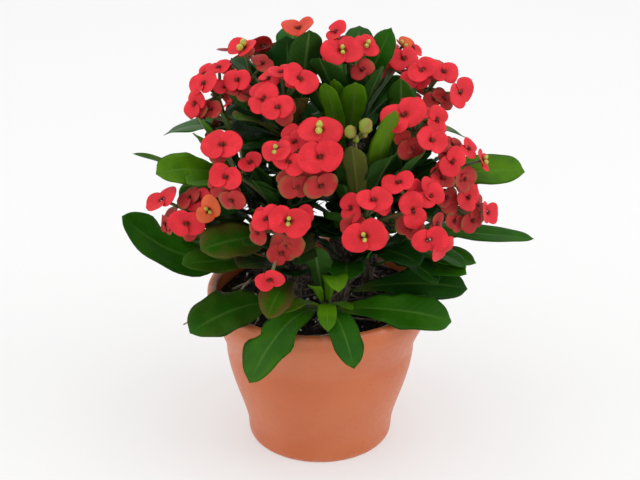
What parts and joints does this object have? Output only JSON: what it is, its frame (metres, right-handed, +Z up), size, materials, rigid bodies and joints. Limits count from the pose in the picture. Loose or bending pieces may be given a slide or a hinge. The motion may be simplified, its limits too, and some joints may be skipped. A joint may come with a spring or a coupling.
{
  "type": "potted euphorbia",
  "caption": "Crown of thorns in a round terracotta-coloured pot with a broad collar: spiny upright stems, dark spatulate leaves and heads of paired coral-red bracts.",
  "frame": {"origin": "middle of the pot's flat base, where it stands on the floor", "axes": "+Z up along the pot's axis; -Y is the front, the side seen in the picture; +X to the viewer's right"},
  "size_m": [0.2273, 0.1898, 0.2568],
  "materials": {
    "pot": "smooth satin terracotta orange",
    "soil": "dark crumbly peat and bark",
    "bark": "grey-brown ridged bark",
    "bract": "soft matt coral red with fine veins",
    "leaf": "dark waxy green, paler midrib"
  },
  "bodies": {
    "root": {"pot": "pot", "soil": "soil", "stem_front_left": "bark", "stem_front_right": "bark", "stem_left": "bark", "stem_right": "bark", "stem_centre_left": "bark", "stem_centre_right": "bark", "stem_back_left": "bark", "stem_back_right": "bark", "stem_basal": "bark", "flower_head_01": "bract", "flower_head_02": "bract", "flower_head_03": "bract", "flower_head_04": "bract", "flower_head_05": "bract", "flower_head_06": "bract", "flower_head_07": "bract", "flower_head_08": "bract", "flower_head_09": "bract", "flower_head_10": "bract", "flower_head_11": "bract", "flower_head_12": "bract", "flower_head_13": "bract", "flower_head_14": "bract", "flower_head_15": "bract", "flower_head_16": "bract", "flower_head_17": "bract", "flower_head_18": "bract", "flower_head_19": "bract", "flower_head_20": "bract", "flower_head_21": "bract", "flower_head_22": "bract", "leaf_01": "leaf", "leaf_02": "leaf", "leaf_03": "leaf", "leaf_04": "leaf", "leaf_05": "leaf", "leaf_06": "leaf", "leaf_07": "leaf", "leaf_08": "leaf", "leaf_09": "leaf", "leaf_10": "leaf", "leaf_11": "leaf", "leaf_12": "leaf", "leaf_13": "leaf", "leaf_14": "leaf", "leaf_15": "leaf", "leaf_16": "leaf", "leaf_17": "leaf", "leaf_18": "leaf", "leaf_19": "leaf", "leaf_20": "leaf", "leaf_21": "leaf", "leaf_22": "leaf", "leaf_23": "leaf", "leaf_24": "leaf", "leaf_25": "leaf", "leaf_26": "leaf", "leaf_27": "leaf"}
  },
  "joints": []
}
